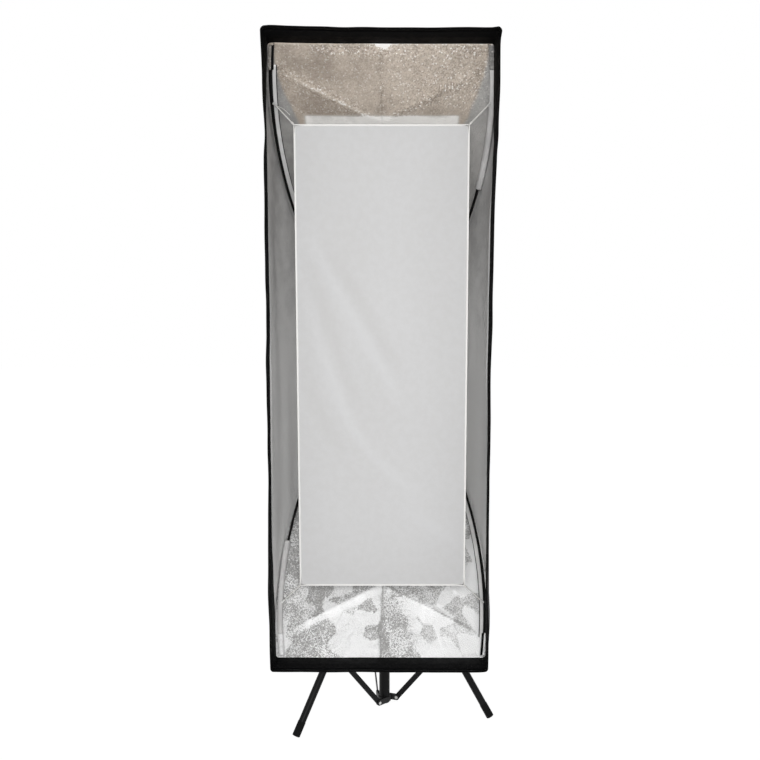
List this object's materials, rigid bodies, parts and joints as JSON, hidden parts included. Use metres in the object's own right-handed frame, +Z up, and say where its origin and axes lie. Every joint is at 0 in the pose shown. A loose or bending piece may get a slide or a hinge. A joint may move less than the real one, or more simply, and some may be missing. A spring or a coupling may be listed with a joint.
{
  "type": "studio softbox",
  "caption": "Tall strip softbox with silver lining and white inner baffle, held by a tilting flash bracket on a folding telescopic light stand.",
  "frame": {"origin": "point of the floor under the axis of the stand's column", "axes": "+Z up along the column, +X to the right, and the open front of the softbox faces -Y"},
  "size_m": [0.4728, 0.7773, 1.4255],
  "materials": {
    "black_tube": "satin black",
    "bare_metal": "brushed",
    "black_plastic": "fine textured",
    "rubber": "matte",
    "black_fabric": "woven nylon",
    "silver_fabric": "hammered silver inside, black nylon outside",
    "white_fabric": "translucent white nylon",
    "elastic": "woven elastic",
    "black_rod": "satin black",
    "brace_metal": "satin black",
    "speedring_metal": "satin black cast aluminium"
  },
  "bodies": {
    "stand_base": {"base_column_tube": "black_tube", "column_end_plug": "black_plastic", "brace_collar": "black_plastic", "brace_pivot_pins": "bare_metal", "base_lock_collar": "black_plastic"},
    "base_lock_screw": {"base_lock_knob": "black_plastic"},
    "leg_slider": {"leg_collar": "black_plastic", "leg_pivot_pins": "bare_metal"},
    "leg_collar_screw": {"leg_collar_knob": "black_plastic"},
    "leg_left": {"leg_tube_left": "black_tube", "leg_foot_left": "rubber", "leg_head_left": "black_plastic", "brace_clip_left": "black_plastic"},
    "leg_right": {"leg_tube_right": "black_tube", "leg_foot_right": "rubber", "leg_head_right": "black_plastic", "brace_clip_right": "black_plastic"},
    "leg_rear": {"leg_tube_rear": "black_tube", "leg_foot_rear": "rubber", "leg_head_rear": "black_plastic", "brace_clip_rear": "black_plastic"},
    "brace_bar_left": {"brace_left": "brace_metal"},
    "brace_bar_right": {"brace_right": "brace_metal"},
    "brace_bar_rear": {"brace_rear": "brace_metal"},
    "mid_section": {"mid_column_tube": "black_tube", "mid_lock_collar": "black_plastic"},
    "mid_lock_screw": {"mid_lock_knob": "black_plastic"},
    "top_section": {"top_column_tube": "black_tube", "spigot": "bare_metal"},
    "bracket_base": {"stand_socket": "black_plastic"},
    "socket_screw": {"socket_knob": "black_plastic"},
    "bracket_head": {"tilt_bolt": "bare_metal", "bracket_ring": "black_plastic", "bracket_arm": "black_plastic", "jaw_shelves": "black_plastic", "jaw_guide_rods": "bare_metal", "lower_jaw_pad": "rubber"},
    "tilt_clamp": {"tilt_lever": "black_plastic"},
    "jaw": {"upper_jaw": "black_plastic", "upper_jaw_pad": "rubber"},
    "jaw_screw": {"jaw_knob": "black_plastic"},
    "bayonet_catch": {"release_catch": "black_plastic"},
    "softbox": {"speedring": "speedring_metal", "rod_set_screws": "bare_metal", "rod_top_left": "black_rod", "rod_top_right": "black_rod", "rod_bottom_left": "black_rod", "rod_bottom_right": "black_rod", "corner_pockets": "black_fabric", "shell_top": "silver_fabric", "shell_bottom": "silver_fabric", "shell_left": "silver_fabric", "shell_right": "silver_fabric", "front_lip": "black_fabric", "lip_fastener_strip": "black_fabric", "rear_cuff": "black_fabric", "inner_baffle": "white_fabric", "baffle_binding": "white_fabric", "baffle_cords": "elastic", "cord_hooks": "elastic"}
  },
  "joints": [
    {"name": "leg_collar_slide", "type": "slide", "parent": "stand_base", "child": "leg_slider", "axis": [0, 0, 1], "range_m": [0, 0.08647]},
    {"name": "leg_fold_left", "type": "hinge", "parent": "leg_slider", "child": "leg_left", "pos_m": [-0.01798, -0.0159, 0.40696], "axis": [0.6626, -0.749, 0], "range_deg": [0, 31.3]},
    {"name": "leg_fold_right", "type": "hinge", "parent": "leg_slider", "child": "leg_right", "pos_m": [0.02276, -0.00762, 0.40696], "axis": [0.3173, 0.9483, 0], "range_deg": [0, 31.3]},
    {"name": "leg_fold_rear", "type": "hinge", "parent": "leg_slider", "child": "leg_rear", "pos_m": [-0.00479, 0.02352, 0.40696], "axis": [-0.9799, -0.1994, 0], "range_deg": [0, 31.3]},
    {"name": "brace_fold_left", "type": "hinge", "parent": "stand_base", "child": "brace_bar_left", "pos_m": [-0.02097, -0.01855, 0.011], "axis": [-0.6626, 0.749, 0], "range_deg": [0, 40.26]},
    {"name": "brace_fold_right", "type": "hinge", "parent": "stand_base", "child": "brace_bar_right", "pos_m": [0.02655, -0.00889, 0.011], "axis": [-0.3173, -0.9483, 0], "range_deg": [0, 40.26]},
    {"name": "brace_fold_rear", "type": "hinge", "parent": "stand_base", "child": "brace_bar_rear", "pos_m": [-0.00558, 0.02744, 0.011], "axis": [0.9799, 0.1994, 0], "range_deg": [0, 40.26]},
    {"name": "leg_collar_knob_turn", "type": "hinge", "parent": "leg_slider", "child": "leg_collar_screw", "pos_m": [0.02247, 0.01988, 0.42645], "axis": [0.749, 0.6626, 0], "range_deg": [0, 540]},
    {"name": "base_lock_knob_turn", "type": "hinge", "parent": "stand_base", "child": "base_lock_screw", "pos_m": [0.02247, 0.01988, 0.611], "axis": [0.749, 0.6626, 0], "range_deg": [0, 540]},
    {"name": "mid_column_slide", "type": "slide", "parent": "stand_base", "child": "mid_section", "axis": [0, 0, 1], "range_m": [-0.015, 0.38]},
    {"name": "mid_lock_knob_turn", "type": "hinge", "parent": "mid_section", "child": "mid_lock_screw", "pos_m": [0.02247, 0.01988, 0.671], "axis": [0.749, 0.6626, 0], "range_deg": [0, 540]},
    {"name": "top_column_slide", "type": "slide", "parent": "mid_section", "child": "top_section", "axis": [0, 0, 1], "range_m": [-0.007, 0.38]},
    {"name": "socket_swivel", "type": "hinge", "parent": "top_section", "child": "bracket_base", "pos_m": [0, 0, 0.713], "axis": [0, 0, 1], "continuous": true},
    {"name": "socket_knob_turn", "type": "hinge", "parent": "bracket_base", "child": "socket_screw", "pos_m": [0, 0.03, 0.713], "axis": [0, 1, 0], "range_deg": [0, 540]},
    {"name": "tilt", "type": "hinge", "parent": "bracket_base", "child": "bracket_head", "pos_m": [0, 0, 0.765], "axis": [-1, 0, 0], "range_deg": [-25, 60]},
    {"name": "tilt_lever_turn", "type": "hinge", "parent": "bracket_head", "child": "tilt_clamp", "pos_m": [-0.02, 0, 0.765], "axis": [-1, 0, 0], "range_deg": [-20, 50]},
    {"name": "jaw_slide", "type": "slide", "parent": "bracket_head", "child": "jaw", "axis": [0, 0, -1], "range_m": [0, 0.04]},
    {"name": "jaw_knob_turn", "type": "hinge", "parent": "jaw", "child": "jaw_screw", "pos_m": [0, -0.03, 0.95], "axis": [0, 0, -1], "range_deg": [0, 3600]},
    {"name": "catch_pull", "type": "slide", "parent": "bracket_head", "child": "bayonet_catch", "axis": [-0.7071, 0, 0.7071], "range_m": [0, 0.004], "stiffness_N_per_m": 300, "springref_m": -0.002},
    {"name": "softbox_turn", "type": "hinge", "parent": "bracket_head", "child": "softbox", "pos_m": [0, -0.0889, 0.865], "axis": [0, -1, 0], "continuous": true}
  ],
  "couplings": [
    {"joint": "leg_fold_left", "follows": "leg_collar_slide", "rad_per_m": 6.2876},
    {"joint": "leg_fold_right", "follows": "leg_collar_slide", "rad_per_m": 6.2876},
    {"joint": "leg_fold_rear", "follows": "leg_collar_slide", "rad_per_m": 6.2876},
    {"joint": "brace_fold_left", "follows": "leg_collar_slide", "rad_per_m": 8.0969},
    {"joint": "brace_fold_right", "follows": "leg_collar_slide", "rad_per_m": 8.0969},
    {"joint": "brace_fold_rear", "follows": "leg_collar_slide", "rad_per_m": 8.0969},
    {"joint": "jaw_knob_turn", "follows": "jaw_slide", "rad_per_m": 1570.8}
  ]
}
